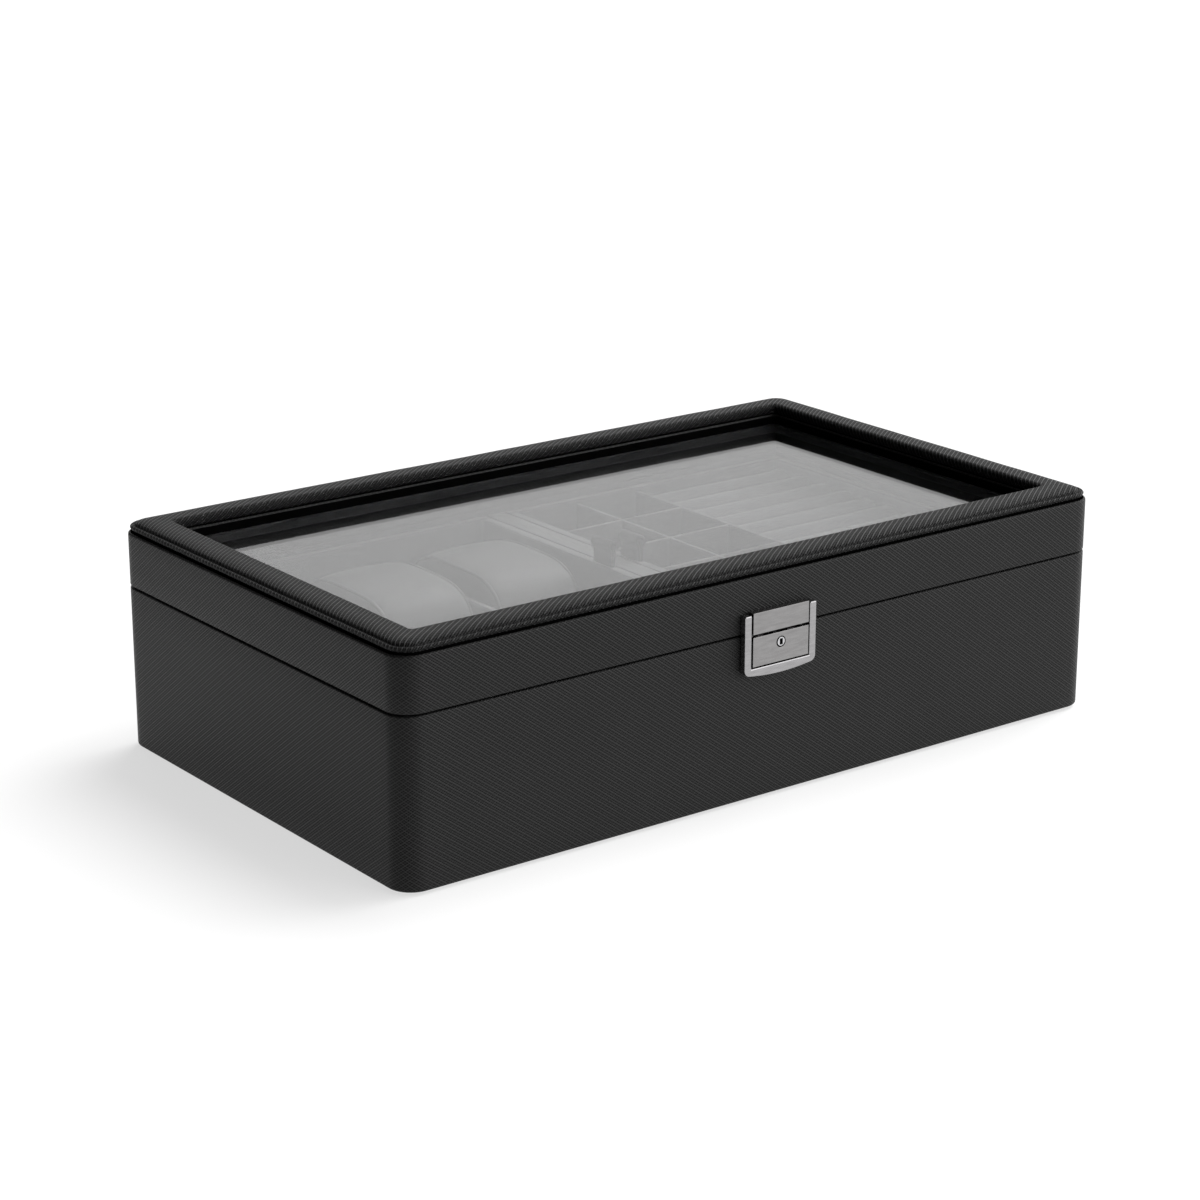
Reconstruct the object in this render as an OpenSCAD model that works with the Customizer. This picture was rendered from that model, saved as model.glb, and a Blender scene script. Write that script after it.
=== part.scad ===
/* [Overall size] */
// Width of the box across the front, over the leather
box_w = 340; // [300:1:420]
// Depth of the box from front to back, over the leather
box_d = 200; // [175:1:250]
// Height of the seam between base and lid above the table
seam_z = 68; // [64:1:90]
// Height of the lid's side band
band_h = 22; // [21:0.5:32]
// Height of the padded frame on top of the band
pad_h = 4.5; // [3:0.5:7]
// Radius of the four upright corners
corner_r = 10; // [6:0.5:14]
// Gap between the rims of base and lid when the lid is shut
seam_gap = 0.6; // [0.4:0.1:1.2]

/* [Boards and coverings] */
// Thickness of the leather covering
leather_t = 1; // [0.8:0.1:1.2]
// Thickness of the side boards
board_t = 6; // [5.5:0.5:9]
// Thickness of the cloth lining
lining_t = 1; // [0.6:0.1:1.4]
// Thickness of the felt under the base
felt_t = 1.2; // [1:0.1:2]
// Thickness of the bottom board
bottom_t = 3; // [2:0.5:5]
// How far the felt is set in from the outside
felt_inset = 5; // [3:0.5:12]

/* [Lid and window] */
// Distance from the outside of the box to the edge of the window
window_inset = 16.5; // [14:0.5:24]
// Thickness of the glass
glass_t = 2.8; // [2:0.2:3.2]
// Thickness of the top rails that the glass lies under
rail_t = 3.2; // [2.5:0.1:4]
// Height of the strip that holds the glass from below
retainer_h = 3.5; // [2.5:0.5:5]
// Radius of the piping round the padded frame
piping_r = 0.9; // [0.6:0.1:1.2]

/* [Partition and trays] */
// Place of the centre partition, from the middle of the box
partition_x = 5.1; // [0:0.1:12]
// Thickness of the centre partition
partition_t = 9; // [6:0.5:12]
// Depth of the tray rims below the seam
tray_drop = 2.5; // [2:0.1:5]
// Clearance round each tray
tray_play = 0.5; // [0.4:0.1:1]
// Thickness of the tray walls
tray_wall = 4; // [3:0.5:5]
// Thickness of the tray floors
tray_floor = 2.5; // [2:0.5:4]
// Height of the store under the watch tray
watch_store_h = 14; // [10:1:16]
// Height of the store under the jewellery tray
jewel_store_h = 30; // [24:1:32]

/* [Watch cushions] */
// Width of a watch cushion
cushion_w = 45; // [40:1:46]
// Length of a watch cushion
cushion_l = 68; // [56:1:72]
// Radius of the cushion's edges at its front and back
cushion_r = 18; // [10:1:20]
// How far the cushions stand above the tray rim
cushion_rise = 1; // [-2:0.5:2]
// Thickness of the dividers between the cushions
watch_divider_t = 2.4; // [1.6:0.2:3]
// Height of the dividers between the cushions
watch_divider_h = 34; // [24:1:38]

/* [Jewellery cells and ring rolls] */
// Clear width and depth of a small cell
cell = 31; // [26:0.5:32]
// Thickness of the cell dividers
divider_t = 1.6; // [1.2:0.1:2.4]
// How far the dividers stop below the tray rim
divider_drop = 1.5; // [1:0.1:4]
// Number of rows of small cells, counted from the back
cell_rows = 3; // [1:1:4]
// Number of ring rolls
roll_count = 12; // [8:1:13]
// How far the rolls stop below the tray rim
roll_drop = 3; // [2:0.5:6]

/* [Pull tabs] */
// Width of a pull tab
tab_w = 12; // [8:1:16]
// Thickness of a folded pull tab
tab_t = 2.4; // [2:0.2:3]
// Height of a pull tab above the tray rim
tab_h = 11; // [8:0.5:11]
// Place of the pull tabs, from the middle towards the back
tab_y = 5; // [-20:1:20]

/* [Latch] */
// Width over the latch frame
latch_w = 35; // [32:0.5:40]
// Width of the latch frame's rails
latch_rail = 3.2; // [2.5:0.1:4]
// How far the latch stands proud of the front
latch_proud = 3.2; // [3:0.1:4]
// Height of the latch below the seam, without its curved sill
latch_drop = 16; // [15.5:0.1:18]
// How far the curved sill of the latch frame hangs below its ends
latch_bow = 1.4; // [0.5:0.1:2]
// Height of the latch frame above the seam
latch_rise = 8.2; // [7:0.1:9]
// Height of the strike plate on the lid
strike_h = 9; // [8:0.1:10]
// Radius of the key cylinder
key_r = 2.2; // [1.9:0.1:2.4]
// Depth of the key cylinder's axis below the seam
key_drop = 4.6; // [4.4:0.1:5]
// Travel of the push plate
push_travel = 1.5; // [1:0.1:1.6]

/* [Hinges] */
// Distance of each hinge from the middle of the box
hinge_x = 95; // [60:1:120]
// Width of a hinge
hinge_w = 30; // [24:1:40]
// Radius of the hinge knuckles
knuckle_r = 2.2; // [2:0.1:3]
// Radius of the hinge pin
pin_r = 0.9; // [0.7:0.1:1.1]
// Thickness of the hinge leaves
leaf_t = 1; // [0.8:0.1:1.2]
// Depth of the hinge leaves, from the back face inwards
leaf_d = 6.4; // [6:0.1:7]

/* [Hidden] */
$fn = 64;

// Small clearances
glue = 0.05;          // between boards that are glued edge to edge
fit = 0.3;            // between a loose piece and its seat
metal_fit = 0.4;      // between the moving metal pieces of the latch
bearing = 0.05;       // between a pin or shaft and its hole, on the radius
board_ease = 1.6;     // extra rounding of the boards' corners under the leather
eps = 0.01;           // a cut reaches this far past a face

// Levels
felt_top = felt_t;
board_top = felt_top + bottom_t;
floor_z = board_top + lining_t;
rim_z = seam_z - seam_gap / 2;
lid_rim_z = seam_z + seam_gap / 2;
band_top = seam_z + band_h;
pad_top = band_top + pad_h;
rail_top = band_top - leather_t;
rail_bottom = rail_top - rail_t;
glass_bottom = rail_bottom - glass_t;
retainer_bottom = glass_bottom - retainer_h;

// Half sizes at each layer of the side walls
half_w = box_w / 2;
half_d = box_d / 2;
frame_in = leather_t;                       // inner face of the leather
board_in = leather_t + glue;                // outer face of the boards
lining_in = leather_t + board_t;            // inner face of the boards
cavity_in = lining_in + lining_t;           // inner face of the lining
cavity_x = half_w - cavity_in;
cavity_y = half_d - cavity_in;

// Trays
tray_top = seam_z - tray_drop;
tray_y = cavity_y - tray_play;
partition_l = partition_x - partition_t / 2;
partition_r = partition_x + partition_t / 2;
watch_x0 = -cavity_x + tray_play;
watch_x1 = partition_l - tray_play;
watch_z0 = floor_z + watch_store_h + fit;
watch_floor_z = watch_z0 + tray_floor;
jewel_x0 = partition_r + tray_play;
jewel_x1 = cavity_x - tray_play;
jewel_z0 = floor_z + jewel_store_h + fit;
jewel_floor_z = jewel_z0 + tray_floor;
ledge_w = 5;
ledge_share = 0.65;   // of the tray's depth

// Watch cells, three across and two deep
watch_cols = 3;
watch_in_x0 = watch_x0 + tray_wall;
watch_in_x1 = watch_x1 - tray_wall;
in_y = tray_y - tray_wall;
watch_cell_w = (watch_in_x1 - watch_in_x0 - (watch_cols - 1) * watch_divider_t) / watch_cols;
watch_pitch = watch_cell_w + watch_divider_t;
watch_row_y = (in_y + watch_divider_t / 2) / 2;
cushion_z0 = watch_floor_z + fit;
cushion_top = tray_top + cushion_rise;

// Jewellery cells and ring rolls
jewel_in_x0 = jewel_x0 + tray_wall;
jewel_in_x1 = jewel_x1 - tray_wall;
divider_top = tray_top - divider_drop;
column_x0 = jewel_in_x0 + cell;
ring_x0 = column_x0 + divider_t + cell;
roll_x0 = ring_x0 + divider_t + fit;
roll_x1 = jewel_in_x1 - fit;
roll_pitch = 2 * in_y / roll_count;
roll_gap = 0.5;
roll_r = (roll_pitch - roll_gap) / 2;
roll_top = tray_top - roll_drop;

// Latch, with y measured outwards from the front face
front_y = -half_d;
face_y = front_y - latch_proud;
plate_half = latch_w / 2 - latch_rail - metal_fit;
plate_t = 1.5;
plate_back = face_y + plate_t + 0.2;
sill_h = 3;
sill_r = 2.2;         // of the frame's two lower corners
push_top = rim_z - 0.2;
push_bottom = seam_z - latch_drop + sill_h + metal_fit;
case_half = 13;
case_wall = 0.8;
case_back = front_y + leather_t + board_t - 0.8;
case_top = rim_z - 0.4;
case_bottom = seam_z - latch_drop + sill_h + 1;
key_z = seam_z - key_drop;
key_neck_r = 1.5;
tongue_y0 = front_y + 0.2;
tongue_t = 1;
tongue_in = 6;        // from the middle to a leg's near edge
tongue_out = 9.6;     // from the middle to a leg's far edge
foot_in = 2.8;        // from the middle to the tip of the foot that the cam holds
cam_reach = 4.6;
cam_w = 2.2;
foot_top = key_z - cam_w / 2 - 0.8;
foot_h = 1.3;
stem_x = -7.8;
stem_r = 1.3;
stem_z = seam_z - 9;
spring_wire_r = 0.25;
spring_r = 1.2;
spring_turns = 5;
spring_z = case_bottom + case_wall + spring_r + spring_wire_r + glue;
spigot_r = 1.2;
spigot_l = 5;
strike_top = seam_z + strike_h;
strike_spigot_x = 12;
strike_spigot_r = 0.8;
pocket_half = 10.6;   // of the lid's pocket behind the strike plate
key_slot_w = 0.8;
key_slot_l = 2.6;
key_slot_d = 1;

// Hinges, at the back of the seam
hinge_y = half_d + knuckle_r + 0.4;
knuckle_l = (hinge_w - 2 * 0.2) / 3;
screw_head_r = 1.6;
screw_head_h = 0.6;
screw_r = 0.7;
screw_l = 6;
screw_y = half_d - leaf_d / 2 - 0.4;
screw_dx = hinge_w / 3;

leather = [0.075, 0.075, 0.08];
cloth = [0.2, 0.2, 0.21];
dark_board = [0.16, 0.13, 0.11];
gunmetal = [0.46, 0.45, 0.46];

// A rounded rectangle in the plane, centred on the origin
module rounded_rect(w, d, r) {
    square([w - 2 * r, d], center = true);
    square([w, d - 2 * r], center = true);
    for (sx = [-1, 1], sy = [-1, 1])
        translate([sx * (w / 2 - r), sy * (d / 2 - r)])
            circle(r);
}

// The box's outline, set in from its outside, with its corners rounded more by ease
module outline(inset, ease = 0) {
    rounded_rect(box_w - 2 * inset, box_d - 2 * inset, max(corner_r - inset, 1.2) + ease);
}

// A wall that follows the outline between two insets
module band(outer, inner, z0, z1) {
    translate([0, 0, z0])
        linear_extrude(z1 - z0)
            difference() {
                outline(outer);
                outline(inner);
            }
}

// The covering where it is turned over the rim of the boards
module rim_flange(z0, z1) {
    translate([0, 0, z0])
        linear_extrude(z1 - z0)
            difference() {
                outline(frame_in - eps);
                square([box_w - 2 * lining_in, box_d - 2 * lining_in], center = true);
            }
}

// A wall with square corners between two insets, for the linings
module square_band(outer, inner, z0, z1) {
    translate([0, 0, z0])
        linear_extrude(z1 - z0)
            difference() {
                square([box_w - 2 * outer, box_d - 2 * outer], center = true);
                square([box_w - 2 * inner, box_d - 2 * inner], center = true);
            }
}

// A block between two corners
module block(x0, x1, y0, y1, z0, z1) {
    translate([x0, y0, z0])
        cube([x1 - x0, y1 - y0, z1 - z0]);
}

// A cylinder along y, from y0 to y1
module rod_y(x, z, r, y0, y1) {
    translate([x, y1, z])
        rotate([90, 0, 0])
            cylinder(r = r, h = y1 - y0);
}

// A cylinder along x, centred on x
module rod_x(x, y, z, r, l) {
    translate([x - l / 2, y, z])
        rotate([0, 90, 0])
            cylinder(r = r, h = l);
}

// Four boards round the box: front and back run right across, the sides fit between them
module four_boards(outer, inner_x, inner_y, z0, z1) {
    x1 = half_w - inner_x;
    y1 = half_d - inner_y;
    intersection() {
        translate([0, 0, z0])
            linear_extrude(z1 - z0)
                outline(outer, board_ease);
        union()
            for (s = [-1, 1]) {
                y0 = s < 0 ? -half_d : y1;
                block(-half_w, half_w, y0, y0 + inner_y, z0 - 1, z1 + 1);
                x0 = s < 0 ? -half_w : x1;
                block(x0, x0 + inner_x, -y1 + glue, y1 - glue, z0 - 1, z1 + 1);
            }
    }
}

// Four walls of a tray: front and back run right across
module tray_walls(x0, x1, z0) {
    for (s = [-1, 1]) {
        y0 = s < 0 ? -tray_y : tray_y - tray_wall;
        block(x0, x1, y0, y0 + tray_wall, z0, tray_top);
        wall_x0 = s < 0 ? x0 : x1 - tray_wall;
        block(wall_x0, wall_x0 + tray_wall, -in_y + glue, in_y - glue, z0, tray_top);
    }
}

// ---- base ----

module base_felt() {
    color([0.1, 0.1, 0.1])
        linear_extrude(felt_t)
            outline(felt_inset);
}

module base_board() {
    color(dark_board)
        translate([0, 0, felt_top])
            linear_extrude(bottom_t)
                outline(board_in, board_ease);
}

module base_frame() {
    color(dark_board)
        difference() {
            four_boards(board_in, lining_in, lining_in, board_top, rim_z - leather_t);
            lock_pocket();
            latch_spigots(spigot_r + bearing, spigot_l + 0.4);
            for (s = [-1, 1])
                hinge_screw_pair(s, -1, bearing);
        }
}

// Room for the lock case in the front board and its covering
module lock_pocket() {
    reach = case_half + 0.2;
    block(-reach, reach, front_y - 1, case_back + 0.1, case_bottom - 0.2, rim_z + 1);
}

module base_cover() {
    color(leather)
        difference() {
            union() {
                band(0, frame_in, felt_top, rim_z);
                rim_flange(rim_z - leather_t, rim_z);
            }
            lock_pocket();
            latch_spigots(spigot_r + bearing, spigot_l + 0.4);
            for (s = [-1, 1])
                leaf_recess(s, rim_z - leather_t, rim_z);
        }
}

module base_lining() {
    color(cloth)
        square_band(lining_in + glue, cavity_in, board_top, rim_z);
}

module floor_lining() {
    color(cloth)
        translate([0, 0, board_top])
            linear_extrude(lining_t)
                square([2 * cavity_x - 2 * glue, 2 * cavity_y - 2 * glue], center = true);
}

module centre_partition() {
    color(cloth)
        block(partition_l, partition_r, -cavity_y + glue, cavity_y - glue, floor_z, tray_top);
}

// Two strips that carry a tray, against the walls at its left and right
module tray_ledges(x0, x1, h) {
    reach = tray_y * ledge_share;
    color(cloth) {
        block(x0, x0 + ledge_w, -reach, reach, floor_z, floor_z + h);
        block(x1 - ledge_w, x1, -reach, reach, floor_z, floor_z + h);
    }
}

module watch_tray_ledges() {
    tray_ledges(-cavity_x, partition_l, watch_store_h);
}

module jewellery_tray_ledges() {
    tray_ledges(partition_r, cavity_x, jewel_store_h);
}

// ---- lid ----

module lid_sides() {
    color(dark_board)
        difference() {
            four_boards(board_in, lining_in, lining_in, lid_rim_z + leather_t, rail_bottom - glue);
            strike_pocket();
            strike_spigots(strike_spigot_r + bearing, spigot_l + 0.4);
            for (s = [-1, 1])
                hinge_screw_pair(s, 1, bearing);
        }
}

// Room for the tongue behind the strike plate
module strike_pocket() {
    block(-pocket_half, pocket_half, front_y - 1, front_y + 4, lid_rim_z - 1, strike_top - 1);
}

module lid_top_rails() {
    rail_in = window_inset - leather_t;
    color(dark_board)
        four_boards(board_in, rail_in, rail_in, rail_bottom, rail_top);
}

module lid_cover() {
    edge_r = 2;
    color(leather)
        difference() {
            union() {
                band(0, frame_in, lid_rim_z, band_top);
                rim_flange(lid_rim_z, lid_rim_z + leather_t);
                band(frame_in - eps, window_inset - leather_t, rail_top, band_top);
                window_edge(window_inset - leather_t - 1, window_inset, rail_top, band_top, edge_r);
                window_edge(window_inset - leather_t + glue, window_inset, rail_bottom, rail_top + eps, edge_r);
            }
            strike_pocket();
            strike_spigots(strike_spigot_r + bearing, spigot_l + 0.4);
            for (s = [-1, 1])
                leaf_recess(s, lid_rim_z, lid_rim_z + leather_t);
        }
}

// The covering turned down round the edge of the window
module window_edge(outer, inner, z0, z1, r) {
    translate([0, 0, z0])
        linear_extrude(z1 - z0)
            difference() {
                square([box_w - 2 * outer, box_d - 2 * outer], center = true);
                rounded_rect(box_w - 2 * inner, box_d - 2 * inner, r);
            }
}

module lid_lining() {
    color(cloth)
        square_band(lining_in + glue, cavity_in, lid_rim_z, retainer_bottom);
}

module glass_pane() {
    color([0.75, 0.78, 0.8, 0.35])
        translate([0, 0, glass_bottom + glue])
            linear_extrude(glass_t - 2 * glue)
                square([box_w - 2 * lining_in - 2 * fit, box_d - 2 * lining_in - 2 * fit], center = true);
}

module glass_retainer() {
    strip_w = window_inset - lining_in - fit;
    x1 = half_w - lining_in - fit;
    y1 = half_d - lining_in - fit;
    color(cloth)
        for (s = [-1, 1]) {
            y0 = s < 0 ? -y1 : y1 - strip_w;
            block(-x1, x1, y0, y0 + strip_w, retainer_bottom + glue, glass_bottom);
            x0 = s < 0 ? -x1 : x1 - strip_w;
            block(x0, x0 + strip_w, -y1 + strip_w + glue, y1 - strip_w - glue,
                  retainer_bottom + glue, glass_bottom);
        }
}

// Inset of the padded frame's outer and inner edges
pad_out = 2 * piping_r + 0.2;
pad_in = window_inset;
skin_t = 0.8;

module pad_foam() {
    inset = pad_out + skin_t + glue;
    foam_in = pad_in - skin_t - glue;
    color([0.3, 0.3, 0.3])
        four_boards(inset, foam_in, foam_in, band_top, pad_top - skin_t - glue);
}

module pad_cover() {
    color(leather)
        difference() {
            band(pad_out, pad_in, band_top, pad_top);
            band(pad_out + skin_t, pad_in - skin_t, band_top - 1, pad_top - skin_t);
        }
}

// A rolled bead along the foot of the padded frame
module pad_piping() {
    r = piping_r;
    bend_r = corner_r - r;
    x1 = half_w - corner_r;
    y1 = half_d - corner_r;
    color(leather)
        translate([0, 0, band_top + r]) {
            for (s = [-1, 1]) {
                rod_x(0, s * (half_d - r), 0, r, 2 * x1);
                translate([s * (half_w - r), y1, 0])
                    rotate([90, 0, 0])
                        cylinder(r = r, h = 2 * y1);
            }
            for (k = [0:3])
                translate([(k == 0 || k == 3 ? 1 : -1) * x1, (k < 2 ? 1 : -1) * y1, 0])
                    rotate([0, 0, 90 * k])
                        rotate_extrude(angle = 90)
                            translate([bend_r, 0])
                                circle(r);
        }
}

// ---- watch tray ----

module watch_tray_walls() {
    color(cloth)
        tray_walls(watch_x0, watch_x1, watch_z0);
}

module watch_tray_floor() {
    color(cloth)
        block(watch_in_x0 + glue, watch_in_x1 - glue, -in_y + glue, in_y - glue, watch_z0, watch_floor_z);
}

// Left edge of the divider after column k
function watch_divider_x(k) = watch_in_x0 + (k + 1) * watch_pitch - watch_divider_t;

module watch_long_divider() {
    half = watch_divider_t / 2;
    top = watch_floor_z + watch_divider_h;
    color(cloth)
        difference() {
            block(watch_in_x0 + glue, watch_in_x1 - glue, -half, half, watch_floor_z, top);
            for (k = [0:watch_cols - 2])
                block(watch_divider_x(k) - glue, watch_divider_x(k) + watch_divider_t + glue,
                      -half - 1, half + 1, watch_floor_z + watch_divider_h / 2, top + 1);
        }
}

module watch_cross_dividers() {
    half = watch_divider_t / 2;
    top = watch_floor_z + watch_divider_h;
    color(cloth)
        for (k = [0:watch_cols - 2])
            difference() {
                block(watch_divider_x(k), watch_divider_x(k) + watch_divider_t,
                      -in_y + glue, in_y - glue, watch_floor_z, top);
                block(watch_divider_x(k) - 1, watch_divider_x(k) + watch_divider_t + 1,
                      -half - glue, half + glue, watch_floor_z - 1,
                      watch_floor_z + watch_divider_h / 2 + glue);
            }
}

// A strip of leather folded into a loop that stands on a tray's side wall
module pull_tab(x) {
    loop_r = tab_t / 2;
    color(leather)
        translate([x, tab_y + tab_w / 2, tray_top])
            rotate([90, 0, 0])
                linear_extrude(tab_w) {
                    translate([-loop_r, 0])
                        square([tab_t, tab_h - loop_r]);
                    translate([0, tab_h - loop_r])
                        circle(loop_r);
                }
}

module watch_tray_tab() {
    pull_tab(watch_x1 - tray_wall / 2);
}

// One cushion, column 0 to 2 from the left and row -1 at the front or 1 at the back
module watch_cushion(column, row) {
    h = cushion_top - cushion_z0;
    x = watch_in_x0 + watch_cell_w / 2 + column * watch_pitch;
    color(leather)
        translate([x - cushion_w / 2, row * watch_row_y, cushion_z0 + h / 2])
            rotate([90, 0, 90])
                linear_extrude(cushion_w)
                    rounded_rect(cushion_l, h, cushion_r);
}

module watch_cushion_1() { watch_cushion(0, -1); }
module watch_cushion_2() { watch_cushion(1, -1); }
module watch_cushion_3() { watch_cushion(2, -1); }
module watch_cushion_4() { watch_cushion(0, 1); }
module watch_cushion_5() { watch_cushion(1, 1); }
module watch_cushion_6() { watch_cushion(2, 1); }

// ---- jewellery tray ----

module jewellery_tray_walls() {
    color(cloth)
        tray_walls(jewel_x0, jewel_x1, jewel_z0);
}

module jewellery_tray_floor() {
    color(cloth)
        block(jewel_in_x0 + glue, jewel_in_x1 - glue, -in_y + glue, in_y - glue, jewel_z0, jewel_floor_z);
}

// Front face of the divider in front of row k, counted from the back
function row_divider_y(k) = in_y - (k + 1) * (cell + divider_t);

module cell_column_divider() {
    mid = (jewel_floor_z + divider_top) / 2;
    color(cloth)
        difference() {
            block(column_x0, column_x0 + divider_t, -in_y + glue, in_y - glue, jewel_floor_z, divider_top);
            for (k = [0:cell_rows - 1])
                block(column_x0 - 1, column_x0 + divider_t + 1, row_divider_y(k) - glue,
                      row_divider_y(k) + divider_t + glue, mid, divider_top + 1);
        }
}

module cell_row_dividers() {
    mid = (jewel_floor_z + divider_top) / 2;
    color(cloth)
        for (k = [0:cell_rows - 1])
            difference() {
                block(jewel_in_x0 + glue, ring_x0 - glue, row_divider_y(k), row_divider_y(k) + divider_t,
                      jewel_floor_z, divider_top);
                block(column_x0 - glue, column_x0 + divider_t + glue, row_divider_y(k) - 1,
                      row_divider_y(k) + divider_t + 1, jewel_floor_z - 1, mid + glue);
            }
}

module ring_divider() {
    color(cloth)
        block(ring_x0, ring_x0 + divider_t, -in_y + glue, in_y - glue, jewel_floor_z, divider_top);
}

module ring_rolls() {
    color(cloth)
        for (k = [0:roll_count - 1])
            translate([roll_x0, -in_y + (k + 0.5) * roll_pitch, 0])
                rotate([90, 0, 90])
                    linear_extrude(roll_x1 - roll_x0) {
                        translate([-roll_r, jewel_floor_z + glue])
                            square([2 * roll_r, roll_top - roll_r - jewel_floor_z - glue]);
                        translate([0, roll_top - roll_r])
                            circle(roll_r);
                    }
}

module jewellery_tray_tab() {
    pull_tab(jewel_x0 + tray_wall / 2);
}

// ---- latch ----

// The two pegs that hold the latch frame in the front board
module latch_spigots(r, l) {
    for (s = [-1, 1])
        rod_y(s * (latch_w - latch_rail) / 2, key_z - 2, r, front_y - 0.1, front_y + l);
}

// The front view of the latch frame without its opening: round lower corners and a curved sill
module latch_outline() {
    half = latch_w / 2;
    low = seam_z - latch_drop - latch_bow;
    bow_r = (half * half + latch_bow * latch_bow) / (2 * latch_bow);
    high = seam_z + latch_rise;
    intersection() {
        translate([0, low + bow_r])
            circle(bow_r, $fn = 360);
        translate([0, (low + high) / 2 + sill_r])
            rounded_rect(latch_w, high - low - latch_bow * 0.6 + 2 * sill_r, sill_r);
        translate([-half, low])
            square([latch_w, high - low]);
    }
}

module latch_frame() {
    half = latch_w / 2;
    sill = seam_z - latch_drop;
    rail_back = front_y - fit;
    color(gunmetal)
        union() {
            difference() {
                translate([0, rail_back, 0])
                    rotate([90, 0, 0])
                        linear_extrude(latch_proud - fit)
                            latch_outline();
                block(-half + latch_rail, half - latch_rail, face_y - 1, front_y + 1,
                      sill + sill_h, seam_z + latch_rise + 2);
            }
            difference() {
                block(-half + 0.6, half - 0.6, rail_back - eps, front_y - glue, sill, rim_z - 0.5);
                block(-half + latch_rail, half - latch_rail, rail_back - 1, front_y + 1, sill + sill_h, rim_z + 1);
            }
            latch_spigots(spigot_r, spigot_l);
        }
}

module lock_case() {
    color(gunmetal)
        difference() {
            block(-case_half, case_half, front_y, case_back, case_bottom, case_top);
            block(-case_half + case_wall, case_half - case_wall, front_y - 2, case_back - case_wall,
                  case_bottom + case_wall, case_top + 1);
            rod_y(0, key_z, key_neck_r + bearing, case_back - 2, case_back + 1);
        }
}

module push_plate() {
    catch_y = tongue_y0 + tongue_t + fit;
    catch_t = 0.9;
    color(gunmetal)
        difference() {
            union() {
                block(-plate_half, plate_half, face_y, face_y + plate_t, push_bottom, push_top);
                rod_y(stem_x, stem_z, stem_r, face_y + plate_t - eps, catch_y + catch_t);
                block(stem_x - 1.5, stem_x + 1.5, catch_y, catch_y + catch_t, stem_z - 1.5, push_top - 1.4);
            }
            rod_y(0, key_z, key_r + 0.1, face_y - 1, face_y + plate_t + 1);
        }
}

// One point on the wire of a coil along z: angle a along the coil, angle b round the wire
function coil_point(a, b, r, wire_r, lead) =
    [(r + wire_r * cos(b)) * cos(a), (r + wire_r * cos(b)) * sin(a), a / 360 * lead + wire_r * sin(b)];

module coil(turns, r, wire_r, lead) {
    per_turn = 14;
    sides = 6;
    rings = turns * per_turn;
    points = [for (i = [0:rings], j = [0:sides - 1])
        coil_point(i * 360 / per_turn, j * 360 / sides, r, wire_r, lead)];
    walls = [for (i = [0:rings - 1], j = [0:sides - 1])
        [i * sides + j, i * sides + (j + 1) % sides, (i + 1) * sides + (j + 1) % sides, (i + 1) * sides + j]];
    start = [for (j = [sides - 1:-1:0]) j];
    end = [for (j = [0:sides - 1]) rings * sides + j];
    polyhedron(points, concat(walls, [start, end]));
}

// The spring stands on the back of the case, as long as it is when the plate is pressed home
module push_spring() {
    y1 = case_back - case_wall;
    y0 = face_y + plate_t + push_travel + 0.1;
    lead = (y1 - y0 - 2 * spring_wire_r) / spring_turns;
    color("silver")
        translate([-stem_x, y1 - spring_wire_r, spring_z])
            rotate([90, 0, 0])
                coil(spring_turns, spring_r, spring_wire_r, lead);
}

module key_cylinder() {
    color(gunmetal)
        difference() {
            union() {
                rod_y(0, key_z, key_r, face_y - 0.1, face_y + plate_t + push_travel);
                rod_y(0, key_z, key_neck_r, face_y + plate_t, case_back - 0.1);
            }
            block(-key_slot_w / 2, key_slot_w / 2, face_y - 1, face_y + key_slot_d,
                  key_z - key_slot_l / 2, key_z + key_slot_l / 2);
            rod_y(0, key_z, 0.7, face_y - 1, face_y + key_slot_d);
        }
}

// The cam stands upright while the box is unlocked and turns over the tongue's foot to lock it
module lock_cam() {
    color(gunmetal)
        difference() {
            block(-cam_w / 2 - 1, cam_w / 2 + 1, tongue_y0, tongue_y0 + tongue_t, key_z - 2, key_z + cam_reach);
            block(cam_w / 2, cam_w, tongue_y0 - 1, tongue_y0 + 2, key_z + key_neck_r, key_z + cam_reach + 1);
            block(-cam_w, -cam_w / 2, tongue_y0 - 1, tongue_y0 + 2, key_z + key_neck_r, key_z + cam_reach + 1);
            rod_y(0, key_z, key_neck_r + 0.02, tongue_y0 - 1, tongue_y0 + 2);
        }
}

// The two pegs that hold the strike plate in the lid's front board
module strike_spigots(r, l) {
    for (s = [-1, 1])
        rod_y(s * strike_spigot_x, seam_z + strike_h / 2 + 1, r, front_y - eps, front_y + l);
}

module strike_plate() {
    color(gunmetal)
        union() {
            block(-plate_half, plate_half, face_y, front_y - glue, lid_rim_z, strike_top);
            rod_y(-strike_spigot_x, seam_z + strike_h / 2 + 1, strike_spigot_r, front_y - 1, front_y + spigot_l);
            rod_y(strike_spigot_x, seam_z + strike_h / 2 + 1, strike_spigot_r, front_y - 1, front_y + spigot_l);
        }
}

module strike_tongue() {
    color(gunmetal)
        union() {
            block(-tongue_out, tongue_out, tongue_y0, tongue_y0 + tongue_t, strike_top - 3.5, strike_top - 1.2);
            block(-tongue_out, -tongue_in, tongue_y0, tongue_y0 + tongue_t, stem_z + 2, strike_top - 2);
            block(tongue_in, tongue_out, tongue_y0, tongue_y0 + tongue_t, foot_top - foot_h, strike_top - 2);
            block(foot_in, tongue_out, tongue_y0, tongue_y0 + tongue_t, foot_top - foot_h, foot_top);
        }
}

// ---- hinges, s is -1 for the left one and 1 for the right one ----

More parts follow.
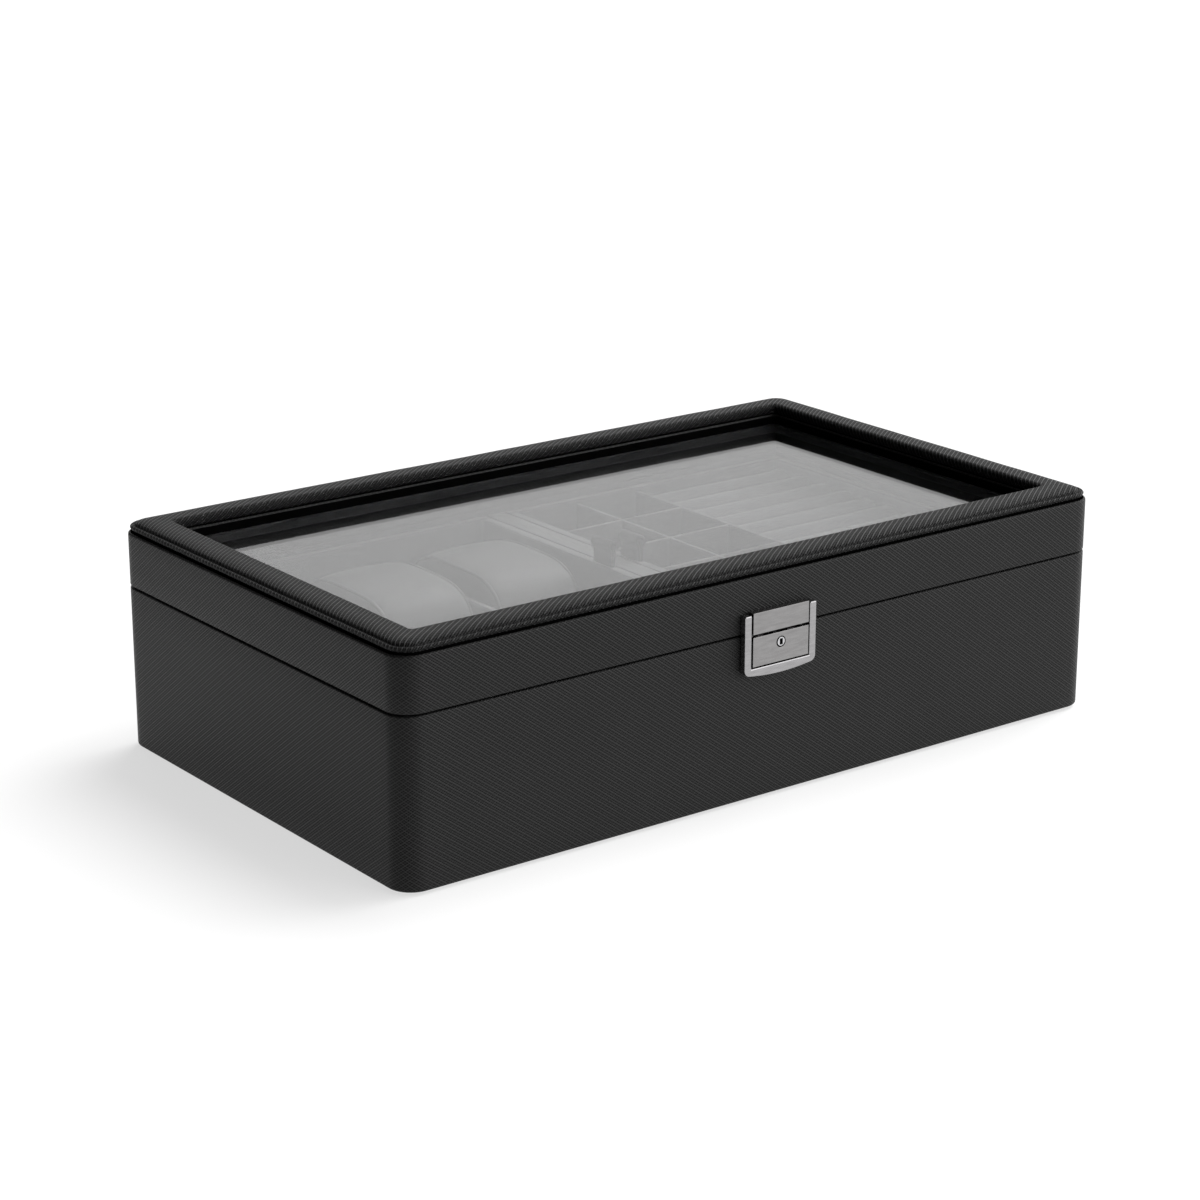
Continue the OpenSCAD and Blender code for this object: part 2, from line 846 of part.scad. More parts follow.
// Room for a hinge leaf in the covering of a rim
module leaf_recess(s, z0, z1) {
    reach = hinge_w / 2 + 0.2;
    block(s * hinge_x - reach, s * hinge_x + reach, half_d - leaf_d - 0.2, half_d + 1, z0 - eps, z1 + eps);
}

// Two screws through a leaf, down into the base for up = -1 or up into the lid for up = 1
module hinge_screw_pair(s, up, grow) {
    face = up < 0 ? rim_z : lid_rim_z;
    for (k = [-1, 1])
        translate([s * hinge_x + k * screw_dx, screw_y, face])
            mirror([0, 0, up < 0 ? 1 : 0]) {
                cylinder(r = screw_head_r + grow, h = screw_head_h + grow);
                cylinder(r = screw_r + grow, h = screw_l + grow);
            }
}

// Leaf and knuckles: the base leaf has the two outer knuckles, the lid leaf the middle one
module hinge_leaf(s, up) {
    z0 = up < 0 ? rim_z - leaf_t : lid_rim_z;
    x = s * hinge_x;
    end_x = (hinge_w - knuckle_l) / 2;
    knuckles = up < 0 ? [-end_x, end_x] : [0];
    notch = knuckle_l / 2 + 0.2;
    color(gunmetal)
        difference() {
            union() {
                block(x - hinge_w / 2, x + hinge_w / 2, half_d - leaf_d, half_d + 0.1, z0, z0 + leaf_t);
                for (k = knuckles) {
                    block(x + k - knuckle_l / 2, x + k + knuckle_l / 2, half_d, hinge_y, z0, z0 + leaf_t);
                    rod_x(x + k, hinge_y, seam_z, knuckle_r, knuckle_l);
                }
            }
            rod_x(x, hinge_y, seam_z, pin_r + bearing, hinge_w + 2);
            hinge_screw_pair(s, up, bearing);
        }
}

module hinge_pin(s) {
    color("silver")
        rod_x(s * hinge_x, hinge_y, seam_z, pin_r, hinge_w);
}

module hinge_base_leaf_left() { hinge_leaf(-1, -1); }
module hinge_base_leaf_right() { hinge_leaf(1, -1); }
module hinge_lid_leaf_left() { hinge_leaf(-1, 1); }
module hinge_lid_leaf_right() { hinge_leaf(1, 1); }
module hinge_pin_left() { hinge_pin(-1); }
module hinge_pin_right() { hinge_pin(1); }

module hinge_base_screws() {
    color("silver")
        for (s = [-1, 1])
            hinge_screw_pair(s, -1, 0);
}

module hinge_lid_screws() {
    color("silver")
        for (s = [-1, 1])
            hinge_screw_pair(s, 1, 0);
}

base_felt();
base_board();
base_frame();
base_cover();
base_lining();
floor_lining();
centre_partition();
watch_tray_ledges();
jewellery_tray_ledges();
lid_sides();
lid_top_rails();
lid_cover();
lid_lining();
glass_pane();
glass_retainer();
pad_foam();
pad_cover();
pad_piping();
watch_tray_walls();
watch_tray_floor();
watch_long_divider();
watch_cross_dividers();
watch_tray_tab();
watch_cushion_1();
watch_cushion_2();
watch_cushion_3();
watch_cushion_4();
watch_cushion_5();
watch_cushion_6();
jewellery_tray_walls();
jewellery_tray_floor();
cell_column_divider();
cell_row_dividers();
ring_divider();
ring_rolls();
jewellery_tray_tab();
latch_frame();
lock_case();
push_plate();
push_spring();
key_cylinder();
lock_cam();
strike_plate();
strike_tongue();
hinge_base_leaf_left();
hinge_base_leaf_right();
hinge_lid_leaf_left();
hinge_lid_leaf_right();
hinge_pin_left();
hinge_pin_right();
hinge_base_screws();
hinge_lid_screws();
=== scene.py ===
import math
import random

import bmesh
import bpy
from mathutils import Matrix, Vector, noise
from mathutils.bvhtree import BVHTree


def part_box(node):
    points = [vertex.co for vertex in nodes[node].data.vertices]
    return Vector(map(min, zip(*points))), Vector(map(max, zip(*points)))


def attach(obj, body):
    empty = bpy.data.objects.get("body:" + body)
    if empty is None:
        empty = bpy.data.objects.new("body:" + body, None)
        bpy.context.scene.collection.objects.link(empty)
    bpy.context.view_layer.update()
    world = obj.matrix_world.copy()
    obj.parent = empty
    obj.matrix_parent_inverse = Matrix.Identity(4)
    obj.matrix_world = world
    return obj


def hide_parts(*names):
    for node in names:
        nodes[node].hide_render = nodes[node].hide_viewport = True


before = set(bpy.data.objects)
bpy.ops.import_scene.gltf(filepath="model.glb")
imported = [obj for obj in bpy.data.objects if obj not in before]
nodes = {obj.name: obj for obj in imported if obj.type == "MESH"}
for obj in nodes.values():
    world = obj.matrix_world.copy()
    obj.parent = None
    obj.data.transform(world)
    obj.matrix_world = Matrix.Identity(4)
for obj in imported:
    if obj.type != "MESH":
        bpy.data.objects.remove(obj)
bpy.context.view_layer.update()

mm = 0.001
scene = bpy.context.scene
random.seed(11)

baseLow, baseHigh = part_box("base_cover")
lidLow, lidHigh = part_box("lid_cover")
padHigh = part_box("pad_cover")[1]
halfWidth, halfDepth = lidHigh.x, lidHigh.y
cornerRadius = 10 * mm      # of the box's upright corners
leatherThickness = 1 * mm
print("frame loaded:", len(nodes), "nodes")


def newMaterial(name):
    material = bpy.data.materials.new(name)
    material.use_nodes = True
    tree = material.node_tree
    return material, tree, tree.nodes["Principled BSDF"]


def math2(tree, operation, first, second=None):
    node = tree.nodes.new("ShaderNodeMath")
    node.operation = operation
    for index, value in enumerate((first, second)):
        if value is None:
            continue
        if isinstance(value, (int, float)):
            node.inputs[index].default_value = value
        else:
            tree.links.new(value, node.inputs[index])
    return node.outputs[0]


def noiseOf(tree, place, scale, detail=3.0, roughness=0.55, stretch=None):
    if stretch:
        squeeze = tree.nodes.new("ShaderNodeVectorMath")
        squeeze.operation = "MULTIPLY"
        tree.links.new(place, squeeze.inputs[0])
        squeeze.inputs[1].default_value = stretch
        place = squeeze.outputs[0]
    node = tree.nodes.new("ShaderNodeTexNoise")
    node.inputs["Scale"].default_value = scale
    node.inputs["Detail"].default_value = detail
    node.inputs["Roughness"].default_value = roughness
    tree.links.new(place, node.inputs["Vector"])
    return node.outputs["Fac"]


def rampOf(tree, factor, stops):
    node = tree.nodes.new("ShaderNodeValToRGB")
    ramp = node.color_ramp
    for index, (position, color) in enumerate(stops):
        element = ramp.elements[index] if index < 2 else ramp.elements.new(position)
        element.position = position
        element.color = (*color, 1)
    tree.links.new(factor, node.inputs["Fac"])
    return node.outputs["Color"]


def bumpOf(tree, shader, height, depth, strength=1.0):
    node = tree.nodes.new("ShaderNodeBump")
    node.inputs["Strength"].default_value = strength
    node.inputs["Distance"].default_value = depth
    tree.links.new(height, node.inputs["Height"])
    tree.links.new(node.outputs["Normal"], shader.inputs["Normal"])
    return node


def spread(tree, factor, low, high, start=0.0):
    node = tree.nodes.new("ShaderNodeMapRange")
    node.inputs["From Min"].default_value = start
    node.inputs["To Min"].default_value = low
    node.inputs["To Max"].default_value = high
    tree.links.new(factor, node.inputs["Value"])
    return node.outputs["Result"]


def objectPlace(tree):
    return tree.nodes.new("ShaderNodeTexCoord").outputs["Object"]


twill = {"pitch": 1.8 * mm, "angle": 36, "ridge": 0.013, "groove": 0.003, "shade": 0.30, "roughness": 0.44,
         "grain": 0.22, "pores": 1900, "patches": 35, "patchy": 0.16}
wallTwill = {"name": "twillLeather", "coarse": 0.35, "sharp": 0.6, "lean": 0.22, "turned": True,
             "depth": 0.17 * mm, "dark": 0.26, "light": 0.64, "specular": 0.21}
padTwill = {"name": "padTwillLeather", "coarse": 0.75, "sharp": 5.0, "lean": -0.38, "turned": False,
            "depth": 0.60 * mm, "dark": 0.10, "light": 0.62, "specular": 0.36}


def twillLeather(kind):
    # two sets of fine ribs that cross; the set that shows more changes from the long walls to the ends
    material, tree, shader = newMaterial(kind["name"])
    uv = tree.nodes.new("ShaderNodeUVMap")
    uv.uv_map = "wrap"
    place = uv.outputs["UV"]
    lean = kind["lean"]
    if kind["turned"]:
        facing = tree.nodes.new("ShaderNodeSeparateXYZ")
        tree.links.new(tree.nodes.new("ShaderNodeTexCoord").outputs["Normal"], facing.inputs[0])
        sideways, forwards = (math2(tree, "POWER", math2(tree, "ABSOLUTE", facing.outputs[axis]), 2.0)
                              for axis in "XY")
        lean = math2(tree, "MULTIPLY", math2(tree, "SUBTRACT", forwards, sideways), lean)
    angle = math.radians(twill["angle"])
    turn = 2 * math.pi / twill["pitch"]
    ribs = []
    for side in (-1, 1):
        across = tree.nodes.new("ShaderNodeVectorMath")
        across.operation = "DOT_PRODUCT"
        tree.links.new(place, across.inputs[0])
        across.inputs[1].default_value = (side * math.sin(angle) * turn, math.cos(angle) * turn, 0)
        walked = across.outputs["Value"]
        wide = spread(tree, math2(tree, "COSINE", walked), 0.0, 1.0, -1.0)
        wide = math2(tree, "MULTIPLY", math2(tree, "POWER", wide, kind["sharp"]), kind["coarse"])
        thin = math2(tree, "COSINE", math2(tree, "MULTIPLY", walked, 2.0))
        thin = spread(tree, thin, 0.0, 1.0 - kind["coarse"], -1.0)
        share = math2(tree, "ADD", math2(tree, "MULTIPLY", lean, float(side)), 0.5)
        ribs.append(math2(tree, "MULTIPLY", math2(tree, "ADD", wide, thin), share))
    emboss = math2(tree, "ADD", ribs[0], ribs[1])
    grain = noiseOf(tree, place, twill["pores"], 3.0, 0.6)
    height = math2(tree, "ADD", emboss, math2(tree, "MULTIPLY", grain, twill["grain"]))
    # grooves take a darker colour and a lower specular tint than the ridges: painted shade in the grooves
    # and painted highlight on the ridges, mixed with the grain's own random tone
    grooveShadeAndGrain = math2(tree, "ADD", emboss, math2(tree, "MULTIPLY", math2(tree, "SUBTRACT", grain, 0.5), 0.5))
    dark, light = kind["dark"], kind["light"]
    tone = rampOf(tree, grooveShadeAndGrain, [(dark, (twill["groove"],) * 3), (light, (twill["ridge"],) * 3)])
    paintedRidgeHighlight = rampOf(tree, grooveShadeAndGrain, [(dark, (twill["shade"],) * 3), (light, (1.0,) * 3)])
    patches = noiseOf(tree, place, twill["patches"], 3.0)
    cloudy = spread(tree, patches, 1 - twill["patchy"], 1 + twill["patchy"])
    mixed = tree.nodes.new("ShaderNodeVectorMath")
    mixed.operation = "SCALE"
    tree.links.new(tone, mixed.inputs[0])
    tree.links.new(cloudy, mixed.inputs["Scale"])
    tree.links.new(mixed.outputs[0], shader.inputs["Base Color"])
    tree.links.new(paintedRidgeHighlight, shader.inputs["Specular Tint"])
    rough = spread(tree, grooveShadeAndGrain, twill["roughness"] + 0.20, twill["roughness"] - 0.08)
    tree.links.new(rough, shader.inputs["Roughness"])
    shader.inputs["Specular IOR Level"].default_value = kind["specular"]
    bumpOf(tree, shader, height, kind["depth"])
    return material


plainLeather = {"grain": 900, "patches": 120, "depth": 0.01 * mm}


def smoothLeather(name, low, high, specular, roughness):
    material, tree, shader = newMaterial(name)
    place = objectPlace(tree)
    cells = tree.nodes.new("ShaderNodeTexVoronoi")
    cells.feature = "DISTANCE_TO_EDGE"
    cells.inputs["Scale"].default_value = plainLeather["grain"]
    tree.links.new(place, cells.inputs["Vector"])
    pebble = spread(tree, cells.outputs["Distance"], 0.0, 1.0)
    pebble.node.inputs["From Max"].default_value = 0.25
    soft = noiseOf(tree, place, plainLeather["patches"], 4.0)
    height = math2(tree, "ADD", pebble, math2(tree, "MULTIPLY", soft, 1.5))
    tone = rampOf(tree, soft, [(0.3, (low,) * 3), (0.7, (high,) * 3)])
    tree.links.new(tone, shader.inputs["Base Color"])
    rough = spread(tree, soft, roughness - 0.06, roughness + 0.08)
    tree.links.new(rough, shader.inputs["Roughness"])
    shader.inputs["Specular IOR Level"].default_value = specular
    bumpOf(tree, shader, height, plainLeather["depth"])
    return material


suede = {"fibre": 2600, "nap": 60, "napShare": 0.45, "depth": 0.12 * mm, "sheen": 0.35, "roughness": 0.92}


def suedeCloth(name, low, high):
    material, tree, shader = newMaterial(name)
    place = objectPlace(tree)
    fibre = noiseOf(tree, place, suede["fibre"], 4.0, 0.7)
    nap = noiseOf(tree, place, suede["nap"], 4.0, 0.6)
    both = math2(tree, "ADD", math2(tree, "MULTIPLY", fibre, 1 - suede["napShare"]),
                 math2(tree, "MULTIPLY", nap, suede["napShare"]))
    tone = rampOf(tree, both, [(0.32, (low, low, low * 1.03)), (0.68, (high, high, high * 1.03))])
    tree.links.new(tone, shader.inputs["Base Color"])
    shader.inputs["Roughness"].default_value = suede["roughness"]
    shader.inputs["Specular IOR Level"].default_value = 0.2
    shader.inputs["Sheen Weight"].default_value = suede["sheen"]
    shader.inputs["Sheen Roughness"].default_value = 0.5
    bumpOf(tree, shader, both, suede["depth"])
    return material


felt = {"fibre": 900, "dark": 0.008, "light": 0.035, "sheen": 0.3, "depth": 0.4 * mm}


def feltCloth():
    material, tree, shader = newMaterial("feltCloth")
    tangle = noiseOf(tree, objectPlace(tree), felt["fibre"], 6.0, 0.75)
    tone = rampOf(tree, tangle, [(0.3, (felt["dark"],) * 3), (0.75, (felt["light"],) * 3)])
    tree.links.new(tone, shader.inputs["Base Color"])
    shader.inputs["Roughness"].default_value = 1.0
    shader.inputs["Sheen Weight"].default_value = felt["sheen"]
    bumpOf(tree, shader, tangle, felt["depth"])
    return material


board = {"fibre": 500, "dark": (0.020, 0.018, 0.016), "light": (0.045, 0.040, 0.035), "roughness": 0.85,
         "depth": 0.1 * mm}


def fibreBoard():
    material, tree, shader = newMaterial("fibreBoard")
    fibre = noiseOf(tree, objectPlace(tree), board["fibre"], 6.0, 0.7, (1, 1, 6))
    tone = rampOf(tree, fibre, [(0.3, board["dark"]), (0.7, board["light"])])
    tree.links.new(tone, shader.inputs["Base Color"])
    shader.inputs["Roughness"].default_value = board["roughness"]
    bumpOf(tree, shader, fibre, board["depth"])
    return material


brushed = {"lines": 900, "clouds": 90, "lineShare": 0.16, "cloudShare": 0.12, "depth": 0.004 * mm}


def satinMetal(name, low, high, roughness, stretch):
    material, tree, shader = newMaterial(name)
    place = objectPlace(tree)
    lines = noiseOf(tree, place, brushed["lines"], 5.0, 0.65, stretch)
    clouds = noiseOf(tree, place, brushed["clouds"], 3.0)
    tone = rampOf(tree, lines, [(0.3, low), (0.7, high)])
    tree.links.new(tone, shader.inputs["Base Color"])
    shader.inputs["Metallic"].default_value = 1.0
    mixed = math2(tree, "ADD", math2(tree, "MULTIPLY", lines, brushed["lineShare"]),
                  math2(tree, "MULTIPLY", clouds, brushed["cloudShare"]))
    tree.links.new(spread(tree, mixed, roughness - 0.05, roughness + 0.25), shader.inputs["Roughness"])
    bumpOf(tree, shader, lines, brushed["depth"])
    return material


pane = {"smear": 25, "roughness": 0.004, "tint": (0.97, 0.98, 0.98), "clear": (0.99, 0.99, 0.99),
        "index": 1.5}


def clearGlass():
    material, tree, shader = newMaterial("clearGlass")
    smear = noiseOf(tree, objectPlace(tree), pane["smear"], 4.0)
    tree.links.new(spread(tree, smear, 0.0, pane["roughness"]), shader.inputs["Roughness"])
    tint = rampOf(tree, smear, [(0.3, pane["tint"]), (0.7, pane["clear"])])
    tree.links.new(tint, shader.inputs["Base Color"])
    shader.inputs["Transmission Weight"].default_value = 1.0
    shader.inputs["IOR"].default_value = pane["index"]
    return material


thread = {"twist": 5000, "dark": 0.006, "light": 0.016, "roughness": 0.6, "specular": 0.15,
          "depth": 0.05 * mm}


def sewingThread():
    material, tree, shader = newMaterial("sewingThread")
    twist = noiseOf(tree, objectPlace(tree), thread["twist"], 2.0)
    tone = rampOf(tree, twist, [(0.3, (thread["dark"],) * 3), (0.7, (thread["light"],) * 3)])
    tree.links.new(tone, shader.inputs["Base Color"])
    shader.inputs["Roughness"].default_value = thread["roughness"]
    shader.inputs["Specular IOR Level"].default_value = thread["specular"]
    bumpOf(tree, shader, twist, thread["depth"])
    return material


finish = {
    "twill": twillLeather(wallTwill),
    "padTwill": twillLeather(padTwill),
    "leather": smoothLeather("smoothLeather", 0.085, 0.10, 0.30, 0.50),
    "strap": smoothLeather("strapLeather", 0.008, 0.014, 0.25, 0.55),
    # near-black finish with no highlight: painted shade for the window's inner walls, the groove under the
    # padded frame and the keyway
    "shadow": smoothLeather("paintedShadeFinish", 0.001, 0.002, 0.0, 1.0),
    "plate": satinMetal("platedSteel", (0.235, 0.23, 0.23), (0.30, 0.295, 0.295), 0.26, (0.15, 1, 1)),
    "cloth": suedeCloth("suedeCloth", 0.08, 0.12),
    "rollCloth": suedeCloth("rollCloth", 0.09, 0.14),
    "felt": feltCloth(),
    "board": fibreBoard(),
    "gunmetal": satinMetal("gunmetal", (0.30, 0.295, 0.30), (0.38, 0.375, 0.38), 0.24, (0.15, 1, 1)),
    "steel": satinMetal("brightSteel", (0.5, 0.5, 0.51), (0.62, 0.62, 0.63), 0.2, (1, 1, 0.2)),
    "glass": clearGlass(),
    "thread": sewingThread(),
}
print("materials made:", len(finish))


def addPiece(name, mesh, material, body, replaced=(), second=None):
    piece = bpy.data.objects.new(name, mesh)
    scene.collection.objects.link(piece)
    mesh.materials.clear()
    mesh.materials.append(material)
    if second:
        mesh.materials.append(second)
    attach(piece, body)
    if replaced:
        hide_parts(*replaced)
    return piece


def smoothFaces(mesh, sharpAngle=None):
    for face in mesh.polygons:
        face.use_smooth = True
    if sharpAngle:
        mesh.set_sharp_from_angle(angle=math.radians(sharpAngle))


def outlineSamples(arcSteps, longStep):
    # stations round the outline: (corner, share of its turn, share of the straight after it)
    samples = []
    for corner in range(4):
        straight = 2 * (halfWidth if corner % 2 == 0 else halfDepth) - 2 * cornerRadius
        steps = max(2, round(straight / longStep))
        samples += [(corner, k / arcSteps, 0.0) for k in range(arcSteps + 1)]
        samples += [(corner, 1.0, k / steps) for k in range(1, steps)]
    return samples


def outlinePoint(sample, inset, radius):
    corner, turn, along = sample

    def onArc(number, share):
        angle = math.pi / 2 * (number + share)
        sideX = 1 if number in (0, 3) else -1
        sideY = 1 if number in (0, 1) else -1
        outward = Vector((math.cos(angle), math.sin(angle), 0))
        centre = Vector((sideX * (halfWidth - inset - radius), sideY * (halfDepth - inset - radius), 0))
        return centre + radius * outward, outward

    point, outward = onArc(corner, turn)
    if along:
        point = point.lerp(onArc((corner + 1) % 4, 0.0)[0], along)
    return point, outward


def arc(centreInset, centreZ, radius, start, stop, steps):
    # points of a round in a profile: 0 degrees points inwards, 90 up, 180 outwards
    return [(centreInset + radius * math.cos(math.radians(a)), centreZ + radius * math.sin(math.radians(a)))
            for a in (start + (stop - start) * k / steps for k in range(steps + 1))]


def sweepProfile(profile, smallest, flatFrom=None, arcSteps=10, longStep=6 * mm, cornerOf=None):
    # a closed profile of (inset, z) carried round the box; flatFrom is the inset where the leather lies flat
    samples = outlineSamples(arcSteps, longStep)
    count, length = len(profile), [0.0]
    for (a, b) in zip(profile, profile[1:] + profile[:1]):
        length.append(length[-1] + math.dist(a, b))
    walked = [0.0]
    ends = [outlinePoint(s, 0, cornerRadius)[0] for s in samples]
    for a, b in zip(ends, ends[1:] + ends[:1]):
        walked.append(walked[-1] + (b - a).length)
    corner = cornerOf or (lambda inset, z: max(cornerRadius - inset, smallest))
    vertices, faces, uvs = [], [], []
    for sample in samples:
        for inset, z in profile:
            point = outlinePoint(sample, inset, corner(inset, z))[0]
            vertices.append((point.x, point.y, z))
    middle = None
    if flatFrom is not None:
        middle = min(range(count), key=lambda j: abs(profile[j][0] - flatFrom) - profile[j][1])

    def uvAt(i, j):
        sample = samples[i % len(samples)]
        if middle is None:
            return walked[i], length[j]
        inset, z = profile[j % count]
        point, outward = outlinePoint(sample, inset, corner(inset, z))
        extra = (length[middle] - length[j]) - (profile[middle][0] - inset)
        return point.x + outward.x * extra, point.y + outward.y * extra

    for i in range(len(samples)):
        for j in range(count):
            iNext, jNext = (i + 1) % len(samples), (j + 1) % count
            faces.append((i * count + j, iNext * count + j, iNext * count + jNext, i * count + jNext))
            uvs += [uvAt(i, j), uvAt(i + 1, j), uvAt(i + 1, j + 1), uvAt(i, j + 1)]
    mesh = bpy.data.meshes.new("sweep")
    mesh.from_pydata(vertices, [], faces)
    layer = mesh.uv_layers.new(name="wrap")
    for loop, uv in zip(layer.data, uvs):
        loop.uv = uv
    fixNormals(mesh)
    return mesh


def fixNormals(mesh):
    work = bmesh.new()
    work.from_mesh(mesh)
    bmesh.ops.recalc_face_normals(work, faces=work.faces)
    work.to_mesh(mesh)
    work.free()


def paintShadeInside(mesh, low, high, inset):
    # the faces that look into the window, between two heights, take painted shade: the near-black second
    # finish
    for face in mesh.polygons:
        inside = halfWidth - abs(face.center.x) > inset and halfDepth - abs(face.center.y) > inset
        if inside and low < face.center.z < high:
            face.material_index = 1


def boxMesh(low, high):
    mesh = bpy.data.meshes.new("cutter")
    work = bmesh.new()
    bmesh.ops.create_cube(work, size=1)
    centre, size = (Vector(low) + Vector(high)) / 2, Vector(high) - Vector(low)
    for vertex in work.verts:
        vertex.co = centre + Vector(a * b for a, b in zip(vertex.co, size))
    work.to_mesh(mesh)
    work.free()
    return mesh


def cutBoxes(piece, boxes):
    for low, high in boxes:
        cutter = bpy.data.objects.new("cutter", boxMesh(low, high))
        scene.collection.objects.link(cutter)
        cut = piece.modifiers.new("cut", "BOOLEAN")
        cut.operation = "DIFFERENCE"
        cut.solver = "EXACT"
        cut.object = cutter
        applyModifiers(piece)
        bpy.data.objects.remove(cutter)


def applyModifiers(piece):
    graph = bpy.context.evaluated_depsgraph_get()
    mesh = bpy.data.meshes.new_from_object(piece.evaluated_get(graph))
    piece.modifiers.clear()
    piece.data = mesh


def roundedCopy(node, name, material, body, width, segments=2, trim=(0, 0, 0), sharpest=35):
    # the same piece with its edges softened, and a little smaller by trim on each side
    work = bmesh.new()
    work.from_mesh(nodes[node].data)
    low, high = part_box(node)
    middle = (low + high) / 2
    for vertex in work.verts:
        for axis in range(3):
            half = (high[axis] - low[axis]) / 2
            vertex.co[axis] = middle[axis] + (vertex.co[axis] - middle[axis]) * (1 - trim[axis] / half)
    bmesh.ops.remove_doubles(work, verts=work.verts, dist=0.002 * mm)
    bmesh.ops.dissolve_limit(work, angle_limit=math.radians(0.5), verts=work.verts, edges=work.edges)
    sharp = [e for e in work.edges if len(e.link_faces) == 2
             and e.calc_face_angle(0) > math.radians(sharpest)]
    bmesh.ops.bevel(work, geom=sharp, offset=width, offset_type="OFFSET", segments=segments,
                    profile=0.5, affect="EDGES", clamp_overlap=True)
    mesh = bpy.data.meshes.new(name)
    work.to_mesh(mesh)
    work.free()
    smoothFaces(mesh)
    piece = addPiece(name, mesh, material, body, (node,))
    flat = piece.modifiers.new("flatFaces", "WEIGHTED_NORMAL")
    flat.keep_sharp = True
    return piece


covering = {"rimRound": 0.8 * mm, "lidRimRound": 0.6 * mm, "footRound": 1.0 * mm, "topRound": 0.9 * mm,
            "windowRound": 0.7 * mm, "windowCorner": 2 * mm, "windowInset": 16.5 * mm}


def wallPoints(inset, low, high, steps):
    return [(inset, low + (high - low) * k / steps) for k in range(1, steps)]


def rimInset(node):
    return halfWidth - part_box(node)[1].x - 0.1 * mm


def baseCovering():
    t, foot, rim = leatherThickness, covering["footRound"], covering["rimRound"]
    low, high = baseLow.z, baseHigh.z
    fold = rimInset("base_lining")
    profile = arc(foot, low + foot, foot, 270, 180, 5)
    profile += wallPoints(0, low + foot, high - rim, 6)
    profile += arc(rim, high - rim, rim, 180, 90, 5)
    profile += [(fold, high), (fold, high - t), (t + foot, high - t), (t + 0.01 * mm, high - t)]
    profile += wallPoints(t, high - t, low + 0.4 * mm, 3)
    mesh = sweepProfile(profile, 0.2 * mm, cornerOf=foldCorner(fold))
    smoothFaces(mesh, 50)
    piece = addPiece("base_leather", mesh, finish["twill"], "base", ("base_cover",))
    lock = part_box("lock_case")
    room = 0.2 * mm
    boxes = [((lock[0].x - room, lock[0].y - 2 * mm, lock[0].z - room),
              (lock[1].x + room, lock[1].y + room, high + mm))]
    cutBoxes(piece, boxes + leafRooms("hinge_base_leaf", high - t - 0.01 * mm, high + mm))
    smoothFaces(piece.data, 50)
    return piece


def foldCorner(fold):
    # the turned-in edge meets the lining at square corners
    return lambda inset, z: 0.2 * mm if abs(inset - fold) < 0.01 * mm else max(cornerRadius - inset, 2 * mm)


def leafRooms(prefix, low, high):
    rooms = []
    for side in ("left", "right"):
        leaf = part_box(prefix + "_" + side)
        play = 0.2 * mm
        front = halfDepth - 6.6 * mm
        rooms.append(((leaf[0].x - play, front, low), (leaf[1].x + play, halfDepth + mm, high)))
    return rooms


def lidCovering():
    t, rim, top, edge = (leatherThickness, covering["lidRimRound"], covering["topRound"],
                         covering["windowRound"])
    low, high = lidLow.z, lidHigh.z
    fold = rimInset("lid_lining")
    window, seat = covering["windowInset"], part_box("glass_pane")[1].z + 0.05 * mm
    profile = [(fold, low)] + arc(rim, low + rim, rim, 270, 180, 4)
    profile += wallPoints(0, low + rim, high - top, 3)
    profile += arc(top, high - top, top, 180, 90, 5)
    profile += [(6 * mm, high), (window - 3 * mm, high)]
    profile += arc(window - edge, high - edge, edge, 90, 0, 5)
    profile += [(window, seat), (window - t, seat), (window - t, high - t)]
    profile += [(t + 0.5 * mm, high - t), (t, high - t - 0.5 * mm), (t, low + t + 0.2 * mm)]
    profile += [(t + 0.4 * mm, low + t), (fold, low + t)]
    mesh = sweepProfile(profile, covering["windowCorner"], cornerOf=foldCorner(fold))
    smoothFaces(mesh, 50)
    piece = addPiece("lid_leather", mesh, finish["twill"], "lid", ("lid_cover",),
                     finish["shadow"])
    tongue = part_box("strike_tongue")
    room = mm
    boxes = [((tongue[0].x - room, tongue[0].y - 2 * mm, low - mm),
              (tongue[1].x + room, tongue[1].y + 3 * mm, tongue[1].z + 0.2 * mm))]
    cutBoxes(piece, boxes + leafRooms("hinge_lid_leaf", low - mm, low + t + 0.01 * mm))
    smoothFaces(piece.data, 50)
    # painted shade on the window's inner wall and on the lid's top under the padded frame, where the groove
    # lies in shade
    paintShadeInside(piece.data, seat - mm, high - 1.5 * edge, window - 0.1 * mm)
    paintShadeInside(piece.data, high - 0.01 * mm, high + mm, 1.1 * mm)
    return piece


baseCovering()
lidCovering()
print("leather covering made")


pad = {"outer": 0.9 * mm, "inner": 15.9 * mm, "rollCentre": 1.8 * mm, "rollHeight": 0.75 * mm,
       "rollTop": 2.7 * mm, "stitchInset": 2.9 * mm, "grooveDepth": 0.40 * mm, "grooveWidth": 0.40 * mm,
       "shoulder": 1.9 * mm, "swell": 6.5 * mm, "steps": 56, "unevenness": 0.10 * mm, "paintedShadeBelow": 2.2 * mm}
stitch = {"pitch": 2.4 * mm, "length": 1.75 * mm, "radius": 0.22 * mm, "tilt": 0.04}


def padTop(inset):
    # height of the padded top: low at the stitches, then it swells up to a broad crown
    low = lidHigh.z + pad["rollTop"]
    share = min(max((inset - pad["stitchInset"]) / pad["swell"], 0), 1)
    away = (inset - pad["stitchInset"]) / pad["grooveWidth"]
    rise = (padHigh.z - low) * math.sqrt(1 - (1 - share) ** 2)
    return low + rise - pad["grooveDepth"] * math.exp(-away * away)


